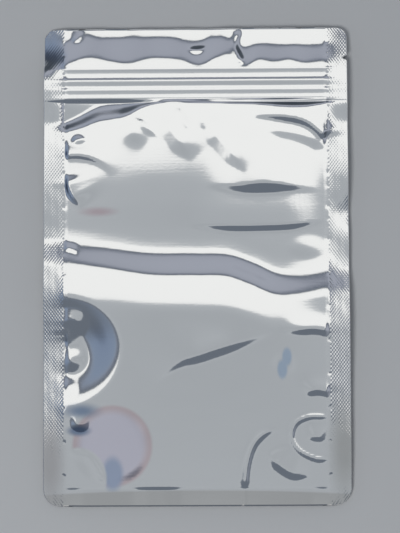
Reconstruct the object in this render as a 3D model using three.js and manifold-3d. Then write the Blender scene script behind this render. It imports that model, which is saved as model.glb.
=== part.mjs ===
// A flat zip pouch of metallised film, lying on its back with a little air in it.
// Millimetres, +Z up. X runs across the pouch and Y from its bottom seal to its open mouth. The
// origin lies under the middle of the pouch, on the surface that its back film rests on.
import * as THREE from "three";
import { mergeVertices } from "three/addons/utils/BufferGeometryUtils.js";
import Module from "manifold-3d";

// Outline of the pouch
const POUCH_WIDTH = 100;
const POUCH_HEIGHT = 157;
const SIDE_SEAL = 6.7;
const BOTTOM_SEAL = 5.5;
const MOUTH_CORNER_RADIUS = 3.6;
const BOTTOM_CORNER_RADIUS = 5.8;
const FILM = 0.14;

// Tear notch in the right edge
const NOTCH_BELOW_MOUTH = 10.3;
const NOTCH_DEPTH = 2;
const NOTCH_WIDTH = 1.8;

// Press zip: a ribbed tape welded to the back film and a grooved tape welded to the front film
const LIP_HEIGHT = 13.3;
const TAPE_WIDTH = 10.6;
const TAPE = 0.3;
const TAPE_EDGE_GAP = 0.3;
const RIB_STEM_WIDTH = 0.8;
const RIB_STEM_HEIGHT = 0.6;
const RIB_HEAD_WIDTH = 1.7;
const RIB_HEAD_HEIGHT = 0.5;
const RIB_TIP_WIDTH = 0.7;
const CLAW_WALL = 0.4;
const ZIP_CLEARANCE = 0.2;
const WELD_RIDGE = 0.12;
const WELD_RIDGE_WIDTH = 0.5;

// Heights of the lying pouch above the surface
const ZIP_LIFT = 1.1;
const MOUTH_LIFT = 0.2;
const MOUTH_GAPE = 1.1;
const CROWN_FALL = 0.28;
const LOWER_FALL = 0.078;
const LIP_BEND = 0.7;

// Widths over which the films turn from one height to the next
const SIDE_HEM = 1.2;
const BOTTOM_HEM = 2.2;
const BACK_SHOULDER = 12;
const BACK_RAMP = 9;

// Spacing of the lines that carry the surface
const COLUMN_PITCH = 2.9;
const ROW_PITCH = 2.6;
const LIP_ROW_PITCH = 1.9;
const ARC_STEPS = 8;
const PATH_STEPS = 4;
const TRIM_MARGIN = 1;

// Values that follow from the sizes above
const EDGE = POUCH_WIDTH / 2;
const MOUTH = POUCH_HEIGHT / 2;
const ZIP_TOP = MOUTH - LIP_HEIGHT;
const ZIP_BOTTOM = ZIP_TOP - TAPE_WIDTH;
const ZIP_LINE = (ZIP_TOP + ZIP_BOTTOM) / 2;
const SEAL_TOP = BOTTOM_SEAL - MOUTH;
const CHAMBER_HALF = EDGE - SIDE_SEAL;
const CHAMBER_HEIGHT = ZIP_BOTTOM - SEAL_TOP;
const INTERLOCK = RIB_STEM_HEIGHT + RIB_HEAD_HEIGHT + ZIP_CLEARANCE;
const ZIP_CROWN = ZIP_LIFT + 2 * (FILM + TAPE) + INTERLOCK;
const MOUTH_CROWN = MOUTH_LIFT + 2 * FILM + MOUTH_GAPE;
const POCKET_HALF = CHAMBER_HALF - SIDE_HEM;
const POCKET_FLOOR = ZIP_BOTTOM - TAPE_EDGE_GAP;
const STRIP_HALF = POCKET_HALF - TAPE_EDGE_GAP;

const ease = (t) => THREE.MathUtils.smoothstep(t, 0, 1);
const mix = THREE.MathUtils.lerp;

// Places on the chamber, as shares of its half width and of its height above the bottom seal.
const across = (share) => share * CHAMBER_HALF;
const along = (share) => SEAL_TOP + share * CHAMBER_HEIGHT;
const onChamber = (shares) => shares.map(([u, v]) => new THREE.Vector2(across(u), along(v)));

// A smooth line v(u) through points.
function lineThrough(points) {
  return (x) => {
    const next = points.findIndex((point) => point.x > x);
    const last = next < 0 ? points.length - 1 : Math.max(next, 1);
    const [a, b] = [points[last - 1], points[last]];
    const before = points[Math.max(last - 2, 0)];
    const after = points[Math.min(last + 1, points.length - 1)];
    const t = THREE.MathUtils.clamp((x - a.x) / (b.x - a.x), 0, 1);
    const slopeIn = (b.y - before.y) / (b.x - before.x);
    const slopeOut = (after.y - a.y) / (after.x - a.x);
    const reach = (b.x - a.x) * t * (1 - t);
    return mix(a.y, b.y, t * t * (3 - 2 * t)) + reach * ((1 - t) * slopeIn - t * slopeOut);
  };
}

// Heights along the pouch: pairs of a share of the chamber's height and millimetres.
const profile = (pairs) => lineThrough(pairs.map(([v, z]) => new THREE.Vector2(along(v), z)));

// The front film down the middle, before the air in the lower half lifts it.
const SPINE = profile([
  [-0.06, 3.05], [0.6, 3.05], [0.67, 3.2], [0.73, 3.5], [0.81, 3.78], [0.87, 3.8], [0.93, 3.66],
  [1, 3.5], [1.08, 3.3], [1.2, 1.75],
]);

// The seals keep just below the film beside them, and the left one sags with it.
const SEAM_DROP = 0.3;
const SEAM_SAG = { at: 0.353, along: 16, drop: 1.7 };

// The step across the middle, where the film climbs to the air cushion of the lower half.
const STEP_LINE = lineThrough(onChamber([
  [-1, 0.607], [-0.69, 0.593], [-0.35, 0.576], [0, 0.574], [0.25, 0.57],
  [0.42, 0.55], [0.6, 0.523], [0.79, 0.519], [1, 0.528],
]));
const STEP_HEAD = { rise: 0.22, above: 9, below: 1 };
const STEP_FACE = { rise: 1.75, above: 5, below: 5 };
const STEP_FOOT = { rise: 1.15, above: 1, below: 16 };

// Where the cushion starts to fall away to the bottom seal, and how softly.
const FALL_FROM = 0.447;
const FALL_SOFT = 5;

// The steeper band of the front lip, between two wavy lines.
const LIP_LOW = lineThrough(onChamber([
  [-1, 1.094], [-0.85, 1.111], [-0.5, 1.097], [-0.3, 1.11], [0.02, 1.089], [0.28, 1.114],
  [0.35, 1.089], [0.5, 1.104], [0.7, 1.103], [1, 1.099],
]));
const LIP_HIGH = lineThrough(onChamber([
  [-1, 1.154], [-0.85, 1.17], [-0.3, 1.165], [0, 1.152], [0.25, 1.16], [0.35, 1.138],
  [0.5, 1.146], [1, 1.143],
]));

// Creases: a path, the height of its crest and how far each flank reaches.
const CREASES = [
  { path: [[-0.99, 0.945], [-0.8, 0.963], [-0.62, 0.975], [-0.42, 0.985]],
    height: -1, left: 2.2, right: 4.2 },
  { path: [[0.37, 0.941], [0.62, 0.94], [0.83, 0.925], [0.99, 0.89]],
    height: 0.3, left: 1.2, right: 5 },
  { path: [[0.08, 0.948], [0.22, 0.886], [0.38, 0.807]],
    height: 0.42, left: 2.4, right: 3 },
  { path: [[-0.28, 0.98], [-0.18, 0.925], [-0.05, 0.862]],
    height: 0.3, left: 2, right: 3 },
  { path: [[-1, 0.842], [-0.9, 0.842], [-0.78, 0.832], [-0.69, 0.811]],
    height: 0.3, left: 1.4, right: 3 },
  { path: [[0.11, 0.77], [0.3, 0.774], [0.51, 0.782], [0.7, 0.776], [0.9, 0.77]],
    height: 0.66, left: 10, right: 2.3 },
  { path: [[-0.02, 0.673], [0.46, 0.672], [0.74, 0.676], [0.97, 0.701]],
    height: 0.3, left: 5, right: 1.2 },
  { path: [[-0.32, 0.259], [-0.09, 0.332], [0.28, 0.372], [0.55, 0.401]],
    height: 0.5, left: 8, right: 2 },
  { path: [[1, 0.181], [0.85, 0.183], [0.74, 0.168], [0.71, 0.133], [0.76, 0.098], [0.89, 0.077]],
    height: 0.36, left: 3.4, right: 1.2 },
  { path: [[0.62, 0.152], [0.52, 0.144], [0.43, 0.114], [0.37, 0.063], [0.355, 0]],
    height: 0.36, left: 5, right: 1.2 },
];

// Sags and swells: centre, radii in millimetres, height, and the share of the radius that slopes.
const SWELLS = [
  { at: [-1.03, 0.353], across: 21, along: 19.2, height: -1.9, slope: 0.62 },
  { at: [-0.905, 0.408], across: 4.6, along: 4.4, height: 0.62, slope: 1 },
  { at: [-0.92, 0.329], across: 5.2, along: 4.6, height: 0.62, slope: 1 },
  { at: [-0.98, 0.271], across: 4.6, along: 3.8, height: 0.5, slope: 1 },
  { at: [-0.635, 0.11], across: 13.6, along: 13.8, height: -0.26, slope: 0.45 },
  { at: [-0.485, 0.953], across: 9, along: 9.5, height: 0.42, slope: 1 },
];

// How far a point lies from a path, on which side of it, and how far along it.
function placeOnPath(line, x, y) {
  const found = { distance: Infinity, side: 1, share: 0 };
  for (let i = 0; i + 1 < line.length; i += 1) {
    const [a, b] = [line[i], line[i + 1]];
    const [dx, dy] = [b.x - a.x, b.y - a.y];
    const t = THREE.MathUtils.clamp(((x - a.x) * dx + (y - a.y) * dy) / (dx * dx + dy * dy), 0, 1);
    const distance = Math.hypot(x - a.x - t * dx, y - a.y - t * dy);
    if (distance < found.distance) {
      found.distance = distance;
      found.side = Math.sign(dx * (y - a.y) - dy * (x - a.x));
      found.share = (i + t) / (line.length - 1);
    }
  }
  return found;
}

// A crease rises and falls like a bell across its path and dies away at both ends.
const creaseLines = CREASES.map((crease) => {
  const curve = new THREE.SplineCurve(onChamber(crease.path));
  return { ...crease, line: curve.getPoints(PATH_STEPS * crease.path.length) };
});

function creaseHeight({ line, height, left, right }, x, y) {
  const { distance, side, share } = placeOnPath(line, x, y);
  const reach = side > 0 ? left : right;
  return height * Math.sin(Math.PI * share) * Math.exp(-((distance / reach) ** 2));
}

function swellHeight(swell, x, y) {
  const u = (x - across(swell.at[0])) / swell.across;
  const v = (y - along(swell.at[1])) / swell.along;
  return swell.height * (1 - ease((Math.hypot(u, v) - 1 + swell.slope) / swell.slope));
}

const climb = ({ rise, above, below }, distance) => rise * ease((distance + above) / (above + below));

// Zero below zero, then growing with the distance, with a soft start.
const beyond = (distance, soft) => (
  Math.abs(distance) < soft ? (distance + soft) ** 2 / (4 * soft) : Math.max(distance, 0)
);

// Height of the front film before its folds.
function smoothHeight(x, y) {
  const pastStep = STEP_LINE(x) - y;
  const rise = climb(STEP_HEAD, pastStep) + climb(STEP_FACE, pastStep) + climb(STEP_FOOT, pastStep);
  const fall = LOWER_FALL * beyond(along(FALL_FROM) - y, FALL_SOFT);
  return (SPINE(y) + rise - fall) * (1 - CROWN_FALL * (x / CHAMBER_HALF) ** 2);
}

// Height of the mid plane of the seals, where both films are welded face to face.
function seamHeight(x, y) {
  const sag = SEAM_SAG.drop * Math.exp(-(((y - along(SEAM_SAG.at)) / SEAM_SAG.along) ** 2));
  return x < 0
    ? smoothHeight(-CHAMBER_HALF, y) - SEAM_DROP - sag
    : smoothHeight(CHAMBER_HALF, y) - SEAM_DROP;
}

// Height of the back film's outer face: flat on the surface, lifted at the zip and at the seals.
function backHeight(x, y) {
  const seam = seamHeight(x, y) - FILM;
  const inside = CHAMBER_HALF - Math.abs(x);
  if (inside <= 0 || y <= SEAL_TOP) return seam;
  if (y > ZIP_BOTTOM - BACK_RAMP) {
    const lift = y > ZIP_TOP
      ? mix(ZIP_LIFT, MOUTH_LIFT, ease((y - ZIP_TOP) / LIP_HEIGHT))
      : ZIP_LIFT * ease(1 - (POCKET_FLOOR - y) / BACK_RAMP);
    const shoulder = mix(BACK_SHOULDER, SIDE_HEM, ease(1 - (POCKET_FLOOR - y) / BACK_RAMP));
    return mix(seam, lift, ease(inside / shoulder));
  }
  return seam * (1 - ease(inside / BACK_SHOULDER) * ease((y - SEAL_TOP) / BACK_SHOULDER));
}

// Height of the front film's outer face over the chamber, before it turns down to the seals.
function chamberHeight(x, y) {
  const creases = creaseLines.reduce((sum, crease) => sum + creaseHeight(crease, x, y), 0);
  const swells = SWELLS.reduce((sum, swell) => sum + swellHeight(swell, x, y), 0);
  return smoothHeight(x, y) + creases + swells;
}

// Height of the front lip, which droops from the zip to the mouth.
function lipHeight(x, y) {
  const even = (y - ZIP_TOP) / LIP_HEIGHT;
  const bent = ease((y - LIP_LOW(x)) / (LIP_HIGH(x) - LIP_LOW(x)));
  return mix(ZIP_CROWN, MOUTH_CROWN, mix(even, bent, LIP_BEND));
}

function frontHeight(x, y) {
  const seam = seamHeight(x, y) + FILM;
  const inside = CHAMBER_HALF - Math.abs(x);
  if (inside <= 0 || y <= SEAL_TOP) return seam;
  const hem = ease(inside / SIDE_HEM);
  if (y > ZIP_TOP) return mix(seam, lipHeight(x, y), hem);
  if (y >= POCKET_FLOOR) return mix(seam, ZIP_CROWN, hem);
  return mix(seam, chamberHeight(x, y), hem * ease((y - SEAL_TOP) / BOTTOM_HEM));
}

// Raised lines over the tape's two edges and over the interlocked ribs, seen through the film.
const WELD_LINES = [ZIP_TOP - WELD_RIDGE_WIDTH, ZIP_LINE, ZIP_BOTTOM + WELD_RIDGE_WIDTH];

function weldRelief(x, y) {
  if (Math.abs(x) >= POCKET_HALF) return 0;
  const near = WELD_LINES.some((line) => Math.abs(y - line) < WELD_RIDGE_WIDTH / 4);
  return near ? WELD_RIDGE : 0;
}

// Evenly spaced lines from one value up to, but not including, another.
function lines(from, to, pitch) {
  const count = Math.max(1, Math.round((to - from) / pitch));
  return Array.from({ length: count }, (_, i) => mix(from, to, i / count));
}

const SIDE_COLUMNS = [CHAMBER_HALF - SIDE_HEM / 2, CHAMBER_HALF, EDGE + TRIM_MARGIN];
const COLUMNS = [
  ...SIDE_COLUMNS.map((x) => -x).reverse(),
  ...lines(-POCKET_HALF, POCKET_HALF, COLUMN_PITCH), POCKET_HALF,
  ...SIDE_COLUMNS,
];
const ZIP_ROWS = WELD_LINES.slice().reverse().flatMap((line) => [
  line - WELD_RIDGE_WIDTH / 2, line, line + WELD_RIDGE_WIDTH / 2,
]);
const ROWS = [
  -MOUTH - TRIM_MARGIN, SEAL_TOP, SEAL_TOP + BOTTOM_HEM / 2,
  ...lines(SEAL_TOP + BOTTOM_HEM, POCKET_FLOOR, ROW_PITCH),
  POCKET_FLOOR, ...ZIP_ROWS, ...lines(ZIP_TOP, MOUTH, LIP_ROW_PITCH), MOUTH, MOUTH + TRIM_MARGIN,
];

// A slab whose lower and upper faces follow two height functions over a net of lines.
function slab(columns, rows, lower, upper) {
  const [nx, ny] = [columns.length - 1, rows.length - 1];
  const geometry = new THREE.BoxGeometry(1, 1, 1, nx, ny, 1);
  const position = geometry.attributes.position;
  for (let i = 0; i < position.count; i += 1) {
    const x = columns[Math.round((position.getX(i) + 0.5) * nx)];
    const y = rows[Math.round((position.getY(i) + 0.5) * ny)];
    position.setXYZ(i, x, y, position.getZ(i) > 0 ? upper(x, y) : lower(x, y));
  }
  return geometry;
}

// The flat outline: straight edges, rounded corners and the tear notch.
function outline() {
  const shape = new THREE.Shape();
  const corner = (x, y, radius, from) => shape.absarc(x, y, radius, from, from + Math.PI / 2, false);
  const notch = MOUTH - NOTCH_BELOW_MOUTH;
  const [low, high] = [BOTTOM_CORNER_RADIUS, MOUTH_CORNER_RADIUS];
  shape.moveTo(low - EDGE, -MOUTH);
  corner(EDGE - low, low - MOUTH, low, -Math.PI / 2);
  shape.lineTo(EDGE, notch - NOTCH_WIDTH / 2);
  shape.lineTo(EDGE - NOTCH_DEPTH, notch);
  shape.lineTo(EDGE, notch + NOTCH_WIDTH / 2);
  corner(EDGE - high, MOUTH - high, high, 0);
  corner(high - EDGE, MOUTH - high, high, Math.PI / 2);
  corner(low - EDGE, low - MOUTH, low, Math.PI);
  const geometry = new THREE.ExtrudeGeometry(shape, {
    depth: EDGE, bevelEnabled: false, curveSegments: ARC_STEPS,
  });
  return geometry.translate(0, 0, -EDGE / 2);
}

const wasm = await Module();
wasm.setup();

function toSolid(geometry) {
  const bare = geometry.clone();
  bare.deleteAttribute("normal");
  bare.deleteAttribute("uv");
  const merged = mergeVertices(bare);
  return new wasm.Manifold(new wasm.Mesh({
    numProp: 3,
    vertProperties: merged.attributes.position.array,
    triVerts: new Uint32Array(merged.index.array),
  }));
}

function toGeometry(solid) {
  const mesh = solid.getMesh();
  const geometry = new THREE.BufferGeometry();
  geometry.setAttribute("position", new THREE.BufferAttribute(mesh.vertProperties, 3));
  geometry.setIndex(new THREE.BufferAttribute(mesh.triVerts, 1));
  geometry.computeVertexNormals();
  return geometry;
}

// Both films with what lies between them, less the open pocket from the mouth down past the zip.
function pouchGeometry() {
  const frontFace = (x, y) => frontHeight(x, y) + weldRelief(x, y);
  const body = toSolid(slab(COLUMNS, ROWS, backHeight, frontFace));
  const pocketColumns = COLUMNS.filter((x) => Math.abs(x) <= POCKET_HALF);
  const pocketRows = [POCKET_FLOOR, ...ROWS.filter((y) => y >= ZIP_TOP)];
  const pocket = toSolid(slab(
    pocketColumns, pocketRows,
    (x, y) => backHeight(x, y) + FILM,
    (x, y) => frontHeight(x, y) - FILM,
  ));
  return toGeometry(body.intersect(toSolid(outline())).subtract(pocket));
}

// A strip is its cross-section, drawn as distance from the zip's line and height, run across X.
function stripGeometry(section) {
  const shape = new THREE.Shape(section.map(([u, v]) => new THREE.Vector2(ZIP_LINE + u, v)));
  const geometry = new THREE.ExtrudeGeometry(shape, { depth: 2 * STRIP_HALF, bevelEnabled: false });
  const [alongX, alongY, alongZ] = [0, 1, 2].map((i) => new THREE.Vector3().setComponent(i, 1));
  geometry.applyMatrix4(new THREE.Matrix4().makeBasis(alongY, alongZ, alongX));
  return geometry.translate(-STRIP_HALF, 0, 0);
}

const bothSides = (half) => [...half, ...half.map(([u, v]) => [-u, v]).reverse()];

// Tape with a stem and an arrow head that snaps between the claws.
function ribGeometry() {
  const tapeBack = ZIP_LIFT + FILM;
  const tapeFace = tapeBack + TAPE;
  const headFoot = tapeFace + RIB_STEM_HEIGHT;
  return stripGeometry(bothSides([
    [TAPE_WIDTH / 2, tapeBack],
    [TAPE_WIDTH / 2, tapeFace],
    [RIB_STEM_WIDTH / 2, tapeFace],
    [RIB_STEM_WIDTH / 2, headFoot],
    [RIB_HEAD_WIDTH / 2, headFoot],
    [RIB_TIP_WIDTH / 2, headFoot + RIB_HEAD_HEIGHT],
  ]).reverse());
}

// Tape with two hooked claws that close round the rib's head.
function grooveGeometry() {
  const tapeBack = ZIP_CROWN - FILM;
  const tapeFace = tapeBack - TAPE;
  const clawTip = tapeFace - INTERLOCK + ZIP_CLEARANCE;
  const hookTop = clawTip + RIB_STEM_HEIGHT - 2 * ZIP_CLEARANCE;
  const cavity = RIB_HEAD_WIDTH / 2 + ZIP_CLEARANCE;
  return stripGeometry(bothSides([
    [TAPE_WIDTH / 2, tapeBack],
    [TAPE_WIDTH / 2, tapeFace],
    [cavity + CLAW_WALL, tapeFace],
    [cavity + CLAW_WALL, clawTip],
    [RIB_STEM_WIDTH / 2 + ZIP_CLEARANCE, clawTip],
    [RIB_STEM_WIDTH / 2 + ZIP_CLEARANCE, hookTop],
    [cavity, hookTop],
    [cavity, tapeFace],
  ]));
}

function piece(name, geometry, material) {
  const mesh = new THREE.Mesh(geometry, new THREE.MeshStandardMaterial(material));
  mesh.name = name;
  return mesh;
}

const FOIL = { color: 0xc4c8cc, metalness: 1, roughness: 0.12 };
const ZIP_PLASTIC = { color: 0xe9ebec, metalness: 0, roughness: 0.4 };

const model = new THREE.Group();
model.add(
  piece("pouch", pouchGeometry(), FOIL),
  piece("zip_rib_strip", ribGeometry(), ZIP_PLASTIC),
  piece("zip_groove_strip", grooveGeometry(), ZIP_PLASTIC),
);

export default model;
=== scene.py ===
import math

import bpy
import numpy as np
from mathutils import Matrix, Vector


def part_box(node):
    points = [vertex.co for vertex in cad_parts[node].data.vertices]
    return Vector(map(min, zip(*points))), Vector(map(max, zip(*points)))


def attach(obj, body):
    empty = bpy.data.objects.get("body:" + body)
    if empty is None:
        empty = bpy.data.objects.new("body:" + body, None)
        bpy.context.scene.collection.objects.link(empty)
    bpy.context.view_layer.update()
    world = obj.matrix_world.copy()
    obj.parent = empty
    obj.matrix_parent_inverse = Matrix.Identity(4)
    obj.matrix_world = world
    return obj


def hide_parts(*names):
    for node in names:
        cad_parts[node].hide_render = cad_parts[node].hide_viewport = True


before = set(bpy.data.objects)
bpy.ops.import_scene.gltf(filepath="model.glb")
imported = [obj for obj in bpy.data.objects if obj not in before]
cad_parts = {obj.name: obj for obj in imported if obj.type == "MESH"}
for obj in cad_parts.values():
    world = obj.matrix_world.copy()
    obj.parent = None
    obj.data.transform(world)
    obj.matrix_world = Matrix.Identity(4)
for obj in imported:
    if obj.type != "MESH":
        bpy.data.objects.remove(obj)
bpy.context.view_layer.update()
POUCH_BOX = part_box("pouch")

# Sizes are in millimetres and meshes in metres. X runs across the pouch, Y from its bottom seal to
# its open mouth and Z up from the surface that its back film rests on.
MM = 0.001

# The pouch's outline
EDGE = POUCH_BOX[1][0] / MM
MOUTH = POUCH_BOX[1][1] / MM
SIDE_SEAL = 6.7
BOTTOM_SEAL = 5.5
MOUTH_CORNER = 3.6
BOTTOM_CORNER = 5.8
NOTCH_BELOW_MOUTH = 10.3
NOTCH_DEPTH = 2.0
NOTCH_WIDTH = 1.8
FILM = 0.12

# The press zip and the lips above it
LIP_HEIGHT = 13.3
TAPE_WIDTH = 10.6
ZIP_BACK = 1.1
ZIP_CROWN = 3.28
MOUTH_BACK = 0.2

CHAMBER_HALF = EDGE - SIDE_SEAL
SEAL_TOP = BOTTOM_SEAL - MOUTH
ZIP_TOP = MOUTH - LIP_HEIGHT
ZIP_BOTTOM = ZIP_TOP - TAPE_WIDTH

# Widths over which a film turns to its seals, and how far the seals lie below the film beside them
SIDE_HEM = 1.1
ZIP_HEM = 0.8
BACK_SHOULDER = 12.0
BACK_RAMP = 9.0
SEAM_DROP = 0.14
ZIP_END_DROP = 0.05

# Dents along the side seams: their depth and how far they reach from the seam
SEAM_PUCKER = 0.09
PUCKER_REACH = 0.5

# Distance over which the folds of the film die away across a side seal
FOLD_FADE = 2.5

# The bottom seal's step down from the film: its middle, half width and depth. The seals turn from
# sloping along Y to following the bottom seam near it, over these distances.
FOOT_STEP = (-13.0, 6.0, 0.16)
FOOT_ABOVE = 12.0
FOOT_INSIDE = 7.0

# Height of the front film down the middle, before the air in the lower half lifts it
SPINE = [(-79.5, 3.05), (4, 3.05), (12, 3.2), (20, 3.5), (30, 3.78), (38, 3.80), (46, 3.66),
         (54.6, 3.5), (65.2, 3.3), (72, 2.7), (79.5, 1.75)]

# How much the film falls from the middle to the sides, the share of that which the zip takes away and
# the distance below the zip over which it does
CROWN_FALL = 0.28
ZIP_FLATTENS = 0.7
ZIP_FLAT_REACH = 9.0

# The step across the middle, where the film climbs to the air cushion of the lower half: its line,
# and the rise of its head, face and foot with their reach above and below the line
STEP_LINE = [(-43.3, 4.4), (-30, 2.6), (-15, 0.5), (0, 0.2), (11, -0.3), (18, -2.8),
             (26, -6.2), (34, -6.8), (43.3, -5.6)]
STEP_RISES = [(0.22, 9.0, 1.0), (1.75, 5.0, 5.0), (1.15, 1.0, 16.0)]

# The cushion's fall to the bottom seal: where it starts, its slope and its softness
FALL_FROM = -16.0
FALL_SLOPE = 0.078
FALL_SOFT = 5.0

# The film dips below the zip and rises again: the top of that rise, its depth and its width
DIP_LINE = [(-43.3, 45.6), (-38, 47.6), (-32, 49.9), (-27, 50.6), (-22, 51.4), (-17, 52.9),
            (-10, 54), (0, 53.8), (20, 53.2), (36, 52.8), (43.3, 53.4)]
DIP_DEPTH = [(-43.3, 0.85), (-36, 1.3), (-30, 1.4), (-25, 1.15), (-18, 0.5), (-10, 0.28),
             (0, 0.25), (20, 0.28), (38, 0.5), (43.3, 0.3)]
DIP_WIDTH = [(-43.3, 4.4), (-35, 6.4), (-28, 6.8), (-24, 5.4), (-17, 2.4), (0, 1.1), (20, 1.2),
             (38, 2.2), (43.3, 1.4)]

# The left seal sags with the film beside it: place, reach and depth
SEAM_SAG = (-28.0, 16.0, 1.7)

# Roll of the side seals: how steeply they fall outwards, along Y
ROLL_LEFT = [(-79, 0), (-60, -0.05), (-45, -0.07), (-28, -0.06), (-10, -0.07), (0, -0.04), (20, 0.04),
             (50, 0), (64, 0), (69, -0.24), (79, -0.17)]
ROLL_RIGHT = [(-79, 0), (-60, 0.03), (-45, -0.06), (-28, -0.08), (-14, -0.08), (0, -0.05), (11, -0.03),
              (17, -0.12), (23, 0), (50, 0), (79, 0)]

# The lips droop from the zip to the surface. Between these two lines the front lip is steep. Then come
# its slopes outside and between them, the softness of both bends, and the steep slope's waves along X
# as a share and a length.
LIP_LOW = [(-43.3, 66.6), (-37, 68.8), (-28, 67.6), (-22, 66.9), (-14, 68.6), (-5, 67.8), (1, 66.0),
           (7, 68.6), (12, 69.2), (15, 66.0), (21, 67.8), (26, 66.9), (31, 67.8), (36, 66.6),
           (43.3, 67.2)]
LIP_HIGH = [(-43.3, 74.2), (-38, 76.3), (-30, 75.6), (-15, 75.7), (-6, 75.2), (0, 74.0), (5, 75.2),
            (11, 75.0), (15, 72.2), (22, 73.2), (31, 72.6), (43.3, 72.9)]
LIP_FALL = 0.035
LIP_STEEP = 0.16
LIP_SOFT = 1.3
LIP_WAVE = (0.1, 2.3)

# Relief that the zip's tapes and ribs press into the film above them: heights along Y
ZIP_RELIEF = [(54.3, 0), (54.6, -0.03), (54.9, 0), (55.8, 0), (56.2, 0), (57.8, 0.08), (58.1, 0.09),
              (58.4, 0.02), (58.8, 0), (60.6, 0.11), (61.0, 0.12), (61.5, 0.03), (64.3, 0),
              (64.9, 0.05), (65.2, 0)]

# Creases of the front film: path, height, reach of the left and right flank, tapers of both ends.
# A flank that reaches less than KINK falls evenly from a crest of the given softness and narrows to
# the share TIP at both ends, and a longer one fades.
KINK = 4.0
CREST_SOFT = 0.12
TIP = 0.3
CREASES = [
    # Leaf-shaped fold and the line above the step
    ([(2, 26.2), (13, 26.0), (22, 26.8), (31, 26.0), (41, 24.6)], 1.0, 26, 3.9, (0.5, 0.5)),
    ([(-3, 12.9), (10, 12.7), (20, 12.7), (32, 13.2), (43, 14.6)], 0.52, 20, 2.1, (0.35, 0.3)),
    # Long fold in the lower half
    ([(-15, -40), (-10.5, -35.5), (-5, -31.6), (0, -30), (8, -27.4), (20, -23.8), (27, -21.5)],
     0.34, 14, 2.7, (0.45, 0.45)),
    # Crescents beside the right seal
    ([(17, 48.6), (24, 48.9), (32, 48.2), (38, 46.0), (43.2, 41.4)], 0.72, 12.0, 2.0, (0.5, 0.08)),
    ([(20, 44.4), (30, 43.6), (38, 41.4), (43.2, 38.4)], 0.3, 8.0, 2.9, (0.4, 0.15)),
    # Curls beside the left seal, upper half
    ([(-43.6, 36.2), (-38, 36.3), (-33.5, 35.0), (-29.6, 32.0), (-27.5, 28.5)], 0.42, 4.6, 1.8, (0.1, 0.7)),
    ([(-41.5, 40.6), (-38.5, 41.2), (-35.4, 41.6)], 0.3, 2.2, 1.5, (0.4, 0.4)),
    ([(-42.8, 30.5), (-41.2, 24.5), (-37.6, 18.4)], 0.5, 9.0, 1.7, (0.3, 0.4)),
    # Fan of ridges below the zip
    ([(2, 47), (8, 40.5), (17, 29.5)], 0.42, 11.0, 3.2, (0.3, 0.4)),
    ([(-27, 47.5), (-22, 45), (-15, 40)], 0.4, 6.0, 5.0, (0.5, 0.5)),
    ([(-22, 49), (-17, 46), (-11, 41)], 0.16, 2.0, 1.8, (0.4, 0.5)),
    ([(-13.5, 50), (-7.5, 43), (-1, 34)], 0.42, 9.0, 3.4, (0.4, 0.4)),
    ([(-1, 48), (3.5, 47), (8.5, 47)], 0.2, 5.0, 2.8, (0.4, 0.4)),
    ([(-7, 53), (-4.5, 48), (-0.5, 43)], 0.16, 2.2, 1.5, (0.3, 0.4)),
    # Ridge in the sag beside the left seal
    ([(-46, -19.6), (-41, -17.8), (-35, -20.5)], 0.75, 3.9, 9.0, (0.15, 0.4)),
    # Folds in the lower right corner and beside the right seal
    ([(27, -53.8), (22.5, -54.8), (18.5, -58.5), (16.2, -65), (15.2, -74)], 0.26, 1.3, 1.7, (0.3, 0.15)),
    ([(23, -61), (26, -65), (31, -68.2), (37, -69)], 0.3, 7.0, 1.9, (0.3, 0.4)),
    ([(43.4, -49.9), (37, -49.6), (32.2, -51.6), (30.6, -56), (33, -60.5), (38.5, -63.2), (43.4, -63.4)],
     0.2, 1.1, 1.1, (0.12, 0.12)),
    ([(35.5, -56.6), (39, -56.4), (42, -57.2)], 0.2, 5.0, 1.4, (0.4, 0.4)),
    ([(35, -43.2), (38.5, -41.2), (43.4, -42.0)], 0.3, 5.0, 1.7, (0.4, 0.1)),
    ([(27, -22.8), (34, -21.4), (39, -21.2), (44, -22.4)], 0.34, 4.6, 2.2, (0.5, 0.15)),
    # Marks in and beside the round dimple
    ([(-41.5, -52.4), (-38, -52.0), (-34.6, -53)], 0.3, 4.5, 2.2, (0.4, 0.4)),
    ([(-42.5, -60.4), (-35.5, -62.4), (-31, -68.5), (-28.4, -72)], 0.12, 1.2, 3.0, (0.3, 0.3)),
    # Curl at the left end of the step
    ([(-43.4, 5.6), (-40.6, 5.2), (-38.4, 3.0)], 0.22, 2.6, 1.1, (0.1, 0.5)),
]

# Small curls of the front lip, in the same terms
LIP_CURLS = [
    ([(15.2, 78.2), (13.6, 75), (13.2, 72), (14.4, 69), (15.8, 66)], 0.3, 1.5, 1.9, (0.2, 0.15)),
    ([(-3, 71.5), (1, 71.2), (4, 72.5)], 0.25, 1.5, 1.6, (0.4, 0.4)),
    ([(-41, 73.5), (-38.5, 76), (-36.5, 77.8)], 0.25, 3.0, 2.0, (0.4, 0.4)),
]

# Sags and swells: centre, radius across and along, height, and the share of the radius that slopes
SWELLS = [
    (-44.5, -28, 21, 19.2, -1.9, 0.62),
    (-40.4, -31, 5.6, 5.2, 0.5, 1),
    (-42.4, -39.6, 4.6, 4.8, 0.4, 1),
    (44, -6, 17, 14.5, 0.5, 1),
    (36.5, 5.6, 8, 4.8, 0.14, 1),
]

# Discs of film that lean: centre, radius, lean across and along, and the sloping share of the radius
LEANS = [
    (-27.5, -59, 13.4, 0.022, -0.004, 0.35),
    (28.4, -32.6, 4.2, 0.03, 0, 0.6),
]


def ease(t):
    """Smooth rise from 0 to 1: 3t^2 - 2t^3 between t = 0 and t = 1, flat outside."""
    t = np.clip(t, 0, 1)
    return t * t * (3 - 2 * t)


def mix(a, b, t):
    return a + (b - a) * t


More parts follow.
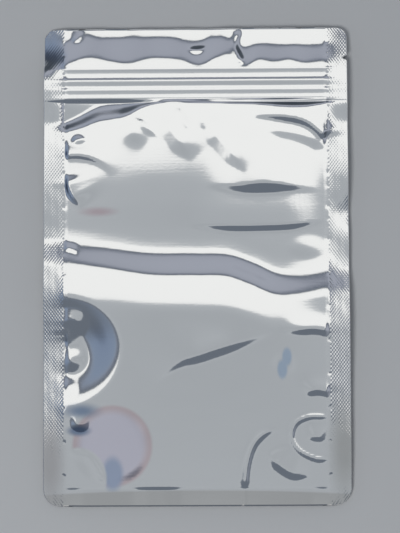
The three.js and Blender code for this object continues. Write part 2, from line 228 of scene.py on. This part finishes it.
def through(points, x):
    """Smooth line v(u) through points: a cubic per span with the slopes of the neighbouring spans."""
    u, v = np.array(points, float).T
    i = np.clip(np.searchsorted(u, x) - 1, 0, len(u) - 2)
    slope = np.gradient(v, u)
    span = u[i + 1] - u[i]
    t = np.clip((x - u[i]) / span, 0, 1)
    lean = t * (1 - t) * span * ((1 - t) * slope[i] - t * slope[i + 1])
    return mix(v[i], v[i + 1], t * t * (3 - 2 * t)) + lean


def beyond(t, soft):
    """max(t, 0) with its corner rounded: (t + sqrt(t^2 + soft^2)) / 2."""
    return 0.5 * (t + np.sqrt(t * t + soft * soft))


def curve(points, steps=6):
    """Catmull-Rom curve through points, with the given number of steps per span."""
    p = np.array(points, float)
    p = np.vstack([2 * p[0] - p[1], p, 2 * p[-1] - p[-2]])
    t = (np.arange(steps) / steps)[:, None]
    spans = [
        0.5 * (2 * b + (c - a) * t + (2 * a - 5 * b + 4 * c - d) * t**2 + (3 * b - 3 * c + d - a) * t**3)
        for a, b, c, d in zip(p, p[1:], p[2:], p[3:])
    ]
    return np.vstack(spans + [p[-2:-1]])


def place_on(line, x, y):
    """Signed distance from a curve, positive on its left, and the share of its length passed."""
    best = np.full(np.shape(x), 1e9)
    side = np.ones(np.shape(x))
    share = np.zeros(np.shape(x))
    step = np.hypot(*np.diff(line, axis=0).T)
    passed = np.concatenate([[0], np.cumsum(step)])
    for i, (a, b) in enumerate(zip(line, line[1:])):
        ux, uy = (b - a) / step[i]
        t = np.clip((x - a[0]) * ux + (y - a[1]) * uy, 0, step[i])
        distance = np.hypot(x - a[0] - t * ux, y - a[1] - t * uy)
        nearer = distance < best
        best = np.where(nearer, distance, best)
        side = np.where(nearer, np.where(ux * (y - a[1]) < uy * (x - a[0]), -1, 1), side)
        share = np.where(nearer, (passed[i] + t) / passed[-1], share)
    return best * side, share


def crease(x, y, path, height, left, right, ends):
    """A crest along a curve. A short flank falls evenly and a long one as a bell exp(-(1.35 d/reach)^2)."""
    distance, share = place_on(curve(path), x, y)
    reach = np.where(distance > 0, left, right)
    d = np.abs(distance) / reach
    taper = ease(share / ends[0]) * ease((1 - share) / ends[1])
    narrow = d / mix(TIP, 1, taper)
    even = np.clip(beyond(1 - narrow, CREST_SOFT), 0, 1) * (narrow < 1.5)
    return height * np.where(reach < KINK, even, np.exp(-(1.35 * d) ** 2)) * taper


def swell(x, y, x0, y0, across, along, height, slope):
    """A round sag or swell: level in the middle, then easing out over the sloping share of its radius."""
    radius = np.hypot((x - x0) / across, (y - y0) / along)
    return height * (1 - ease((radius - 1 + slope) / slope))


def lean(x, y, x0, y0, radius, across, along, slope):
    """A disc of film that leans: a sloping plane, easing out over the sloping share of its radius."""
    away = np.hypot(x - x0, y - y0) / radius
    return (across * (x - x0) + along * (y - y0)) * (1 - ease((away - 1 + slope) / slope))


def smooth_height(x, y):
    """Front film before its folds: spine, climb over the step, and fall to the bottom seal."""
    past = through(STEP_LINE, x) - y
    height = through(SPINE, y) - FALL_SLOPE * beyond(FALL_FROM - y, FALL_SOFT)
    for rise, above, below in STEP_RISES:
        height = height + rise * ease((past + above) / (above + below))
    fall = CROWN_FALL * (1 - ZIP_FLATTENS * ease((y - ZIP_BOTTOM + ZIP_FLAT_REACH) / ZIP_FLAT_REACH))
    return height * (1 - fall * (x / CHAMBER_HALF) ** 2)


def seam_height(x, y):
    """Mid plane of the seals. The side seals start at the edge of the film beside them, whose folds die
    away across them, and fall outwards. The bottom seal follows the film's foot."""
    place, reach, depth = SEAM_SAG
    left = x < 0
    edge = np.where(left, -CHAMBER_HALF, CHAMBER_HALF)
    smooth = smooth_height(edge, y) - left * depth * np.exp(-((y - place) / reach) ** 2)
    over = np.clip(np.abs(x) - CHAMBER_HALF, 0, None)
    folded = top_height(edge, y) - ZIP_END_DROP * (y > ZIP_BOTTOM)
    beside = mix(smooth, folded, np.exp(-over / FOLD_FADE))
    roll = np.where(left, through(ROLL_LEFT, y), through(ROLL_RIGHT, y)) * over
    middle, half, step = FOOT_STEP
    foot = chamber_height(x, np.full(np.shape(y), SEAL_TOP)) - step * np.exp(-(((x - middle) / half) ** 4))
    at_foot = ease((SEAL_TOP + FOOT_ABOVE - y) / FOOT_ABOVE)
    at_foot = at_foot * ease((CHAMBER_HALF - np.abs(x)) / FOOT_INSIDE)
    return mix(beside + roll, foot, at_foot) - SEAM_DROP


def pucker(x, y):
    """Small dents along the side seams, where two sine waves of unlike pitch meet."""
    beat = (np.sin(y / 1.75) * np.sin(y / 1.16 + 1)) ** 4
    return -SEAM_PUCKER * beat * np.exp(-(((np.abs(x) - CHAMBER_HALF) / PUCKER_REACH) ** 2))


def lip_height(x, y):
    """Front lip: an even fall from the zip to the mouth, and a steeper one between two lines."""
    low, high = through(LIP_LOW, x), through(LIP_HIGH, x)
    run = beyond(y - low, LIP_SOFT) - beyond(y - high, LIP_SOFT)
    start = beyond(ZIP_TOP - low, LIP_SOFT) - beyond(ZIP_TOP - high, LIP_SOFT)
    share, length = LIP_WAVE
    steep = LIP_STEEP * (1 + share * np.sin(x / length))
    curl = sum(crease(x, y, *item) for item in LIP_CURLS)
    return ZIP_CROWN - LIP_FALL * (y - ZIP_TOP) - steep * (run - start) + curl


def chamber_height(x, y):
    """Front film over the chamber: the smooth form, the dip below the zip, creases and swells."""
    width = through(DIP_WIDTH, x)
    dip = 1 - ease((through(DIP_LINE, x) + width / 2 - y) / width)
    height = smooth_height(x, y) - through(DIP_DEPTH, x) * dip * ease((ZIP_BOTTOM - y) / ZIP_HEM)
    for item in CREASES:
        height = height + crease(x, y, *item)
    for item in SWELLS:
        height = height + swell(x, y, *item)
    for item in LEANS:
        height = height + lean(x, y, *item)
    return height


def top_height(x, y):
    """Front film over the lip, the zip and the chamber, before it turns down to the seam."""
    zipped = ZIP_CROWN + through(ZIP_RELIEF, y)
    return np.where(y > ZIP_TOP, lip_height(x, y), np.where(y >= ZIP_BOTTOM, zipped, chamber_height(x, y)))


def front_height(x, y):
    """Outer face of the front film, turned down to the seam over the hems."""
    seam = seam_height(x, y) + FILM
    hem = ease((CHAMBER_HALF - np.abs(x)) / SIDE_HEM)
    return seam + (top_height(x, y) - seam) * hem * (y > SEAL_TOP) + pucker(x, y)


def back_height(x, y):
    """Outer face of the back film: flat on the surface, lifted at the zip and to the seam."""
    seam = seam_height(x, y) - FILM
    inside = CHAMBER_HALF - np.abs(x)
    near_zip = ease(1 - (ZIP_BOTTOM - y) / BACK_RAMP)
    lip = mix(ZIP_BACK, MOUTH_BACK, ease((y - ZIP_TOP) / LIP_HEIGHT))
    lift = np.where(y > ZIP_TOP, lip, ZIP_BACK * near_zip)
    shoulder = ease(inside / mix(BACK_SHOULDER, SIDE_HEM, near_zip))
    foot = ease((y - SEAL_TOP) / BACK_SHOULDER)
    return mix(seam, lift, shoulder * foot)


# Grid lines. The seals carry a finer grid than the chamber, with two rows to each of its rows. The rows
# come in bands: start, end and pitch.
SEAL_PITCH = 0.2
CHAMBER_PITCH = 0.55
ROW_BANDS = [(-MOUTH, SEAL_TOP, 0.5), (SEAL_TOP, SEAL_TOP + 6, 0.45),
             (SEAL_TOP + 6, ZIP_BOTTOM - 2, 0.62), (ZIP_BOTTOM - 2, ZIP_TOP + 1.5, 0.4),
             (ZIP_TOP + 1.5, MOUTH, 0.5)]

# A film's inner face: its columns as a share of a seal's width, the distance in chamber pitches over
# which it keeps clear of the outer face, and the share of the film's thickness that it keeps, so that
# two films on each other don't share a plane
INNER_SHARE = 0.25
INNER_REACH = 0.6
THICKNESS_KEPT = 0.98

# The embossed diamonds of the heat seals: their pitch across and along, their height along Y, the share
# by which that varies, how far they fade in from the seam, and how sharp their crests are
KNURL_ACROSS = 0.95
KNURL_ALONG = 1.3
KNURL_HEIGHTS = [(-79, 0.03), (-60, 0.03), (-50, 0.085), (-12, 0.085), (0, 0.05), (40, 0.04),
                 (52, 0.024), (63, 0.022), (79, 0.026)]
KNURL_UNEVEN = 0.5
KNURL_FADE = 0.4
RIDGE_CUT = 0.97


def spaced(start, end, pitch):
    """Evenly spaced values from start to end, both included."""
    return np.linspace(start, end, max(2, int(round((end - start) / pitch)) + 1))


def row_lines():
    coarse = np.concatenate([spaced(*band)[:-1] for band in ROW_BANDS] + [[MOUTH]])
    fine = np.empty(2 * len(coarse) - 1)
    fine[::2] = coarse
    fine[1::2] = (coarse[1:] + coarse[:-1]) / 2
    return coarse, fine


def half_width(y, side):
    """Half the outline's width at y: round corners, and the tear notch on the right."""
    top = np.clip(MOUTH_CORNER - (MOUTH - y), 0, MOUTH_CORNER)
    low = np.clip(BOTTOM_CORNER - (MOUTH + y), 0, BOTTOM_CORNER)
    width = EDGE - (MOUTH_CORNER - np.sqrt(MOUTH_CORNER**2 - top**2))
    width = width - (BOTTOM_CORNER - np.sqrt(BOTTOM_CORNER**2 - low**2))
    if side > 0:
        away = np.abs(y - (MOUTH - NOTCH_BELOW_MOUTH)) / (NOTCH_WIDTH / 2)
        width = width - NOTCH_DEPTH * np.clip(1 - away, 0, 1)
    return width


def ridge(turns):
    """Even rise and fall between -1 and 1, with blunt crests: asin(c cos 2 pi t) / asin c."""
    return np.arcsin(RIDGE_CUT * np.cos(2 * np.pi * turns)) / math.asin(RIDGE_CUT)


def knurl(x, y):
    """Staggered diamonds: the product of two ridged waves, pressed deeper in places by two slow sines."""
    uneven = KNURL_UNEVEN * np.sin(x * 1.7 + y / 1.9) * np.sin(y / 2.7 - x * 0.9)
    return through(KNURL_HEIGHTS, y) * (1 + uneven) * ridge(x / KNURL_ACROSS) * ridge(y / KNURL_ALONG)


def quads(index):
    """Quads of a grid of vertex numbers, facing up where columns run along +X and rows along +Y."""
    return np.stack([index[:-1, :-1], index[:-1, 1:], index[1:, 1:], index[1:, :-1]], -1).reshape(-1, 4)


def stitch(fine, coarse):
    """Triangles that join a line of vertex numbers to another with fewer, end to end."""
    reach = np.round(np.linspace(0, len(coarse) - 1, len(fine))).astype(int)
    low = coarse[reach]
    fans = np.stack([fine[:-1], fine[1:], low[:-1]], -1)
    jump = np.flatnonzero(np.diff(reach)) + 1
    joins = np.stack([fine[jump], coarse[reach[jump]], coarse[reach[jump] - 1]], -1)
    return np.vstack([fans, joins])


class Sheet:
    """Collects the vertices and faces of one closed film."""

    def __init__(self):
        self.points, self.faces, self.count = [], [], 0

    def grid(self, x, y, z):
        index = np.arange(x.size).reshape(x.shape) + self.count
        self.points.append(np.stack([x, y, z], -1).reshape(-1, 3))
        self.count += x.size
        return index

    def add(self, faces, flip=False):
        self.faces.extend((faces[:, ::-1] if flip else faces).tolist())


def inner_face(rows, height, up):
    """Grid of a film's inner face, on every second row and column of the outer one. It lies a film's
    thickness behind the deepest point nearby, so that no crease of the outer face cuts through it."""
    rows = np.unique(np.append(rows[::2], MOUTH))
    share = spaced(0, 1, INNER_SHARE)
    edges = [CHAMBER_HALF * side + side * (half_width(rows, side)[:, None] - CHAMBER_HALF) * share
             for side in (-1, 1)]
    middle = spaced(-CHAMBER_HALF, CHAMBER_HALF, 2 * CHAMBER_PITCH)[1:-1]
    middle = np.broadcast_to(middle, (len(rows), len(middle)))
    x = np.hstack([edges[0][:, ::-1], middle, edges[1]])
    y = np.broadcast_to(rows[:, None], x.shape)
    level = height(x, y)
    reach = INNER_REACH * CHAMBER_PITCH
    near = [height(x + dx, np.clip(y + dy, -MOUTH, MOUTH))
            for dx in (-reach, 0, reach) for dy in (-reach, 0, reach)]
    clear = np.min(near, axis=0) if up > 0 else np.max(near, axis=0)
    deep = (np.abs(x) < CHAMBER_HALF - 0.3) & (y < ZIP_BOTTOM) & (y > SEAL_TOP + 0.5)
    return x, y, np.where(deep, clear, level) - up * FILM * THICKNESS_KEPT


def film(name, height, up):
    """One closed film: its outer face over the seals and the chamber, a plainer inner face a film's
    thickness behind it, and a rim between the two. up is 1 for the front film and -1 for the back."""
    sheet = Sheet()
    coarse, fine = row_lines()
    seal_share = spaced(0, 1, SEAL_PITCH / SIDE_SEAL)
    outer = {}
    for side in (-1, 1):
        width = half_width(fine, side)[:, None]
        share = seal_share[::-1] if side < 0 else seal_share
        x = side * mix(CHAMBER_HALF, width, share[None, :])
        y = np.broadcast_to(fine[:, None], x.shape)
        fade = ease((np.abs(x) - CHAMBER_HALF) / KNURL_FADE)
        z = height(x, y) + up * knurl(x, y) * fade
        outer[side] = sheet.grid(x, y, z)
    columns = spaced(-CHAMBER_HALF, CHAMBER_HALF, CHAMBER_PITCH)[1:-1]
    x, y = np.meshgrid(columns, coarse)
    middle = sheet.grid(x, y, height(x, y))
    flip = up < 0
    for block in (outer[-1], middle, outer[1]):
        sheet.add(quads(block), flip)
    sheet.add(stitch(outer[-1][:, -1], middle[:, 0])[:, ::-1], flip)
    sheet.add(stitch(outer[1][:, 0], middle[:, -1]), flip)

    x, y, z = inner_face(coarse, height, up)
    inner = sheet.grid(x, y, z)
    sheet.add(quads(inner), not flip)

    # Rim: the outer face's edge joined to the inner face's edge
    top = np.concatenate([outer[-1][-1], middle[-1], outer[1][-1]])
    low = np.concatenate([outer[-1][0], middle[0], outer[1][0]])
    sheet.add(stitch(top, inner[-1])[:, ::-1], not flip)
    sheet.add(stitch(low, inner[0]), not flip)
    sheet.add(stitch(outer[-1][:, 0], inner[:, 0])[:, ::-1], not flip)
    sheet.add(stitch(outer[1][:, -1], inner[:, -1]), not flip)

    mesh = bpy.data.meshes.new(name)
    mesh.from_pydata((np.vstack(sheet.points) * MM).tolist(), [], sheet.faces)
    mesh.shade_smooth()
    mesh.update()
    piece = bpy.data.objects.new(name, mesh)
    bpy.context.scene.collection.objects.link(piece)
    return piece


def linear(hex_colour):
    """Linear RGBA of an sRGB hex colour."""
    channels = [int(hex_colour[i:i + 2], 16) / 255 for i in (0, 2, 4)]
    return tuple(c / 12.92 if c <= 0.04045 else ((c + 0.055) / 1.055) ** 2.4 for c in channels) + (1.0,)


def add_node(tree, kind, links=None, **settings):
    """One node with its settings. links maps an input's name or number to a socket or a value."""
    made = tree.nodes.new(kind)
    for key, value in settings.items():
        setattr(made, key, value)
    for key, value in (links or {}).items():
        if isinstance(value, bpy.types.NodeSocket):
            tree.links.new(value, made.inputs[key])
        else:
            made.inputs[key].default_value = value
    return made


def new_material(name):
    material = bpy.data.materials.new(name)
    material.use_nodes = True
    material.node_tree.nodes.clear()
    return material, material.node_tree


def ramp_of(tree, value, stops, end):
    """A colour ramp over value from 0 to end, with stops at (value, colour)."""
    share = add_node(tree, "ShaderNodeMath", {0: value, 1: end}, operation="DIVIDE", use_clamp=True)
    ramp = add_node(tree, "ShaderNodeValToRGB", {0: share.outputs[0]})
    elements = ramp.color_ramp.elements
    while len(elements) < len(stops):
        elements.new(1.0)
    for element, (place, colour) in zip(elements, stops):
        element.position = place / end
        element.color = linear(colour)
    return ramp.outputs[0]


def step_up(tree, value, start, end):
    """Smooth rise from 0 to 1 as value goes from start to end."""
    return add_node(tree, "ShaderNodeMapRange", {0: value, 1: start, 2: end},
                    interpolation_type="SMOOTHSTEP").outputs[0]


def blend(tree, share, below, above):
    """Mix of two colours, each a socket or a hex colour."""
    below, above = (linear(c) if isinstance(c, str) else c for c in (below, above))
    return add_node(tree, "ShaderNodeMix", {0: share, 6: below, 7: above}, data_type="RGBA").outputs[2]


def product(tree, a, b):
    return add_node(tree, "ShaderNodeMath", {0: a, 1: b}, operation="MULTIPLY").outputs[0]


def noise(tree, place, scale, detail):
    """Value of a noise stretched by a scale per axis, in features per metre."""
    stretched = add_node(tree, "ShaderNodeVectorMath", {0: place, 1: scale}, operation="MULTIPLY")
    return add_node(tree, "ShaderNodeTexNoise", {
        "Vector": stretched.outputs[0], "Scale": 1.0, "Detail": detail,
    }).outputs[0]


FILM_COLOUR = "f4f5f6"

# Painted reflections in the film's colour, later ones over earlier ones: pink, lilac and bluish patches
# where the film mirrors coloured things, one patch back to the plain film colour, and greyer patches on the
# lower seals as painted dimmer
# reflection. Columns: centre, radius across and along, the share of the radius over which it fades, and
# colour
PAINTED_REFLECTIONS = [
    ((-27.5, -59), (13.6, 13.8), 0.1, "ecdcdf"),
    ((-27.5, -59), (12.4, 12.6), 0.25, "f2eefa"),
    ((-27.4, -68), (4.4, 7.0), 0.5, "c4d0e8"),
    ((-38.6, -69.6), (9.8, 10.8), 0.12, FILM_COLOUR),
    ((-38.4, -54.0), (5.2, 2.4), 0.7, "98a8c2"),
    ((-37.5, -47.6), (8.5, 3.4), 0.9, "a4b4cc"),
    ((-32, 17.5), (8.5, 2.2), 0.9, "e6d6da"),
    ((27.8, -34.4), (2.1, 4.0), 0.5, "cfdff2"),
    ((29.3, -30.4), (2.0, 3.8), 0.5, "cfdff2"),
    # Painted shade: greyer bottom seal and lower side seals, standing in for their dimmer reflection
    ((0, -79), (80, 6), 0.12, "dedddb"),
    ((-47.8, -64), (7, 22), 0.9, "d8d6d6"),
    ((47.8, -60), (7, 24), 0.9, "d6d6d4"),
]


# Unevenness of the film as three noises: features per metre along X and Y, detail and height in metres.
# Fine streaks of the drawn film run along X, then come its grain and its broad waves.
FILM_NOISES = [((60, 1400, 0), 2.0, 3e-6), ((900, 1100, 0), 3.0, 4e-6), ((40, 90, 0), 1.0, 5e-5)]


def metallised_laminate():
    """Polyester film with vapour-deposited aluminium behind it: a bright mirror, slightly uneven, with a
    few reflections painted into its colour as faint tints."""
    material, tree = new_material("metallised_laminate")
    place = add_node(tree, "ShaderNodeTexCoord").outputs["Object"]
    normal = {}
    for scale, detail, height in FILM_NOISES:
        bump = add_node(tree, "ShaderNodeBump", {
            "Strength": 1.0, "Distance": height, "Height": noise(tree, place, scale, detail), **normal,
        })
        normal = {"Normal": bump.outputs[0]}
    colour = FILM_COLOUR
    # Painted reflections: each patch of colour is blended over the film's base colour
    for (x, y), (across, along), soft, reflection_colour in PAINTED_REFLECTIONS:
        centre, scale = (x * MM, y * MM, 0), (1 / (across * MM), 1 / (along * MM), 0)
        away = add_node(tree, "ShaderNodeVectorMath", {0: place, 1: centre}, operation="SUBTRACT")
        away = add_node(tree, "ShaderNodeVectorMath", {0: away.outputs[0], 1: scale}, operation="MULTIPLY")
        away = add_node(tree, "ShaderNodeVectorMath", {0: away.outputs[0]}, operation="LENGTH")
        within = step_up(tree, away.outputs["Value"], 1, 1 - soft)
        colour = blend(tree, within, colour, reflection_colour)
    surface = add_node(tree, "ShaderNodeBsdfPrincipled", {
        "Base Color": colour, "Metallic": 1.0, "Roughness": 0.08, **normal,
    })
    add_node(tree, "ShaderNodeOutputMaterial", {"Surface": surface.outputs[0]})
    return material


def natural_polyethylene():
    """Soft milky polyethylene of the zip tapes, extruded and slightly waxy."""
    material, tree = new_material("natural_polyethylene")
    surface = add_node(tree, "ShaderNodeBsdfPrincipled", {
        "Base Color": linear("e6e8e9"), "Roughness": 0.42, "Subsurface Weight": 0.15,
        "Subsurface Scale": 0.002,
    })
    add_node(tree, "ShaderNodeOutputMaterial", {"Surface": surface.outputs[0]})
    return material


def studio_floor():
    """Grey matte board under the pouch."""
    material, tree = new_material("matte_backdrop_board")
    surface = add_node(tree, "ShaderNodeBsdfPrincipled", {
        "Base Color": linear("d2d3d3"), "Roughness": 0.85, "Specular IOR Level": 0.2,
    })
    add_node(tree, "ShaderNodeOutputMaterial", {"Surface": surface.outputs[0]})
    return material


# The camera looks almost straight down, tipped towards the pouch's bottom edge.
CAMERA_DISTANCE = 600.0
CAMERA_TARGET = (1.21, -0.56, 1.0)
CAMERA_TIP = math.radians(5.23)
CAMERA_SIDE = math.radians(0.79)
CAMERA_ROLL = math.radians(-0.27)
FOCAL_PIXELS = 1831.3
PHOTO_WIDTH = 400


def add_camera():
    data = bpy.data.cameras.new("camera")
    data.sensor_fit = "HORIZONTAL"
    data.sensor_width = 36.0
    data.lens = data.sensor_width * FOCAL_PIXELS / PHOTO_WIDTH
    data.clip_start, data.clip_end = 0.01, 20
    camera = bpy.data.objects.new("camera", data)
    bpy.context.scene.collection.objects.link(camera)
    back = Vector((math.sin(CAMERA_SIDE) * math.cos(CAMERA_TIP), -math.sin(CAMERA_TIP),
                   math.cos(CAMERA_SIDE) * math.cos(CAMERA_TIP)))
    right = Vector((0, 1, 0)).cross(back).normalized()
    up = back.cross(right)
    turn = Matrix((right, up, back)).transposed() @ Matrix.Rotation(CAMERA_ROLL, 3, "Z")
    place = (Vector(CAMERA_TARGET) + CAMERA_DISTANCE * back) * MM
    camera.matrix_world = Matrix.LocRotScale(place, turn, None)
    bpy.context.scene.camera = camera


# The studio as the film mirrors it. A grey ceiling round the camera hangs inside a lit white panel,
# which reaches further towards the mouth's side. Beyond it are its dark frame and slate walls.
# Centres are in degrees from the zenith towards +Y, radii in degrees, and stops are a colour at so many
# degrees from the ceiling's centre or past the panel's edge.
CEILING = (-3.0, 11.6)
PANEL = (6.0, 18.0)
CEILING_NARROWS = (0.6, 1.0, 1.0)
PANEL_NARROWS = (0.78, 1.0, 1.0)
CEILING_STOPS = [(0, "b0b4b8"), (3, "a6aaae"), (9, "aeb2b6")]
WALL_STOPS = [(0, "626a74"), (2.5, "707682"), (6, "9ca0ab"), (14, "a3a7b2"), (19, "50565e"),
              (31, "383e46"), (40, "8c9198"), (50, "c8cacc"), (70, "b8bbbe")]
CEILING_END, WALL_END = 20, 70
PANEL_WHITE = "f6f6f4"
LEFT_STOPS = [(0, "8492a5"), (12, "7c8aa0"), (18, "3c4658"), (34, "343c4c"), (45, "a8b0ba")]
DARK_SIDE = "686f79"


def angle_from(tree, direction, degrees):
    """Angle in degrees between a direction and the one that tips so many degrees towards +Y."""
    tip = math.radians(degrees)
    axis = (0.0, math.sin(tip), math.cos(tip))
    cosine = add_node(tree, "ShaderNodeVectorMath", {0: direction, 1: axis}, operation="DOT_PRODUCT")
    angle = add_node(tree, "ShaderNodeMath", {0: cosine.outputs["Value"]}, operation="ARCCOSINE")
    return add_node(tree, "ShaderNodeMath", {0: angle.outputs[0]}, operation="DEGREES").outputs[0]


def narrowed(tree, direction, scale):
    """A direction squeezed by a scale per axis and brought back to unit length."""
    squeezed = add_node(tree, "ShaderNodeVectorMath", {0: direction, 1: scale}, operation="MULTIPLY")
    unit = add_node(tree, "ShaderNodeVectorMath", {0: squeezed.outputs[0]}, operation="NORMALIZE")
    return unit.outputs[0]


def add_studio():
    """World background: ceiling, panel and walls by direction, bluish on the left and dark towards -Y."""
    world = bpy.data.worlds.new("studio")
    bpy.context.scene.world = world
    world.use_nodes = True
    tree = world.node_tree
    tree.nodes.clear()
    seen = add_node(tree, "ShaderNodeTexCoord").outputs["Generated"]
    from_ceiling = angle_from(tree, narrowed(tree, seen, CEILING_NARROWS), CEILING[0])
    towards = narrowed(tree, seen, PANEL_NARROWS)
    from_panel = angle_from(tree, towards, PANEL[0])
    past_panel = add_node(tree, "ShaderNodeMath", {0: from_panel, 1: PANEL[1]}, operation="SUBTRACT")
    past_panel = past_panel.outputs[0]
    flat = add_node(tree, "ShaderNodeVectorMath", {0: towards, 1: (1.0, 1.0, 0.0)}, operation="MULTIPLY")
    heading = add_node(tree, "ShaderNodeVectorMath", {0: flat.outputs[0]}, operation="NORMALIZE")
    heading = add_node(tree, "ShaderNodeSeparateXYZ", {0: heading.outputs[0]})
    walls = ramp_of(tree, past_panel, WALL_STOPS, WALL_END)
    leftward = step_up(tree, heading.outputs[0], -0.2, -0.8)
    leftward = product(tree, leftward, step_up(tree, past_panel, 2.0, 6.0))
    walls = blend(tree, leftward, walls, ramp_of(tree, past_panel, LEFT_STOPS, WALL_END))
    walls = blend(tree, step_up(tree, heading.outputs[1], -0.3, -0.8), walls, DARK_SIDE)
    studio = blend(tree, step_up(tree, past_panel, 0.0, -0.8), walls, PANEL_WHITE)
    ceiling = ramp_of(tree, from_ceiling, CEILING_STOPS, CEILING_END)
    within = step_up(tree, from_ceiling, CEILING[1], CEILING[1] - 1.6)
    studio = blend(tree, within, studio, ceiling)
    background = add_node(tree, "ShaderNodeBackground", {0: studio, 1: 1.0})
    add_node(tree, "ShaderNodeOutputWorld", {0: background.outputs[0]})


# A soft lamp that shades the floor and stays out of the mirror: place in metres, diameter and watts
LAMP_PLACE = (-0.5, -0.55, 1.1)
LAMP_SIZE = 0.5
LAMP_POWER = 6.0


def add_lamp():
    data = bpy.data.lights.new("key_lamp", "AREA")
    data.shape = "DISK"
    data.size = LAMP_SIZE
    data.energy = LAMP_POWER
    lamp = bpy.data.objects.new("key_lamp", data)
    lamp.location = LAMP_PLACE
    lamp.rotation_euler = Vector(LAMP_PLACE).to_track_quat("Z", "Y").to_euler()
    lamp.visible_glossy = False
    bpy.context.scene.collection.objects.link(lamp)


# The floor, in metres: half its side, and a hair's gap below the back film
FLOOR_HALF = 3.0
FLOOR_GAP = 0.0002


def add_floor():
    mesh = bpy.data.meshes.new("floor")
    corners = [(x * FLOOR_HALF, y * FLOOR_HALF, 0) for x, y in ((-1, -1), (1, -1), (1, 1), (-1, 1))]
    mesh.from_pydata(corners, [], [(0, 1, 2, 3)])
    floor = bpy.data.objects.new("floor", mesh)
    floor.location.z = -FLOOR_GAP
    mesh.materials.append(studio_floor())
    bpy.context.scene.collection.objects.link(floor)
    return floor


def main():
    add_camera()
    add_studio()
    add_lamp()
    floor = add_floor()
    laminate = metallised_laminate()
    for name, height, up, rest in (("back_film", back_height, -1, [floor]),
                                   ("front_film", front_height, 1, ["back_film"])):
        piece = film(name, height, up)
        piece.data.materials.append(laminate)
        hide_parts("pouch")
        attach(piece, "root")
    plastic = natural_polyethylene()
    for name in ("zip_rib_strip", "zip_groove_strip"):
        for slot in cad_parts[name].material_slots:
            slot.material = plastic
    bpy.context.scene.view_settings.view_transform = "Standard"


main()
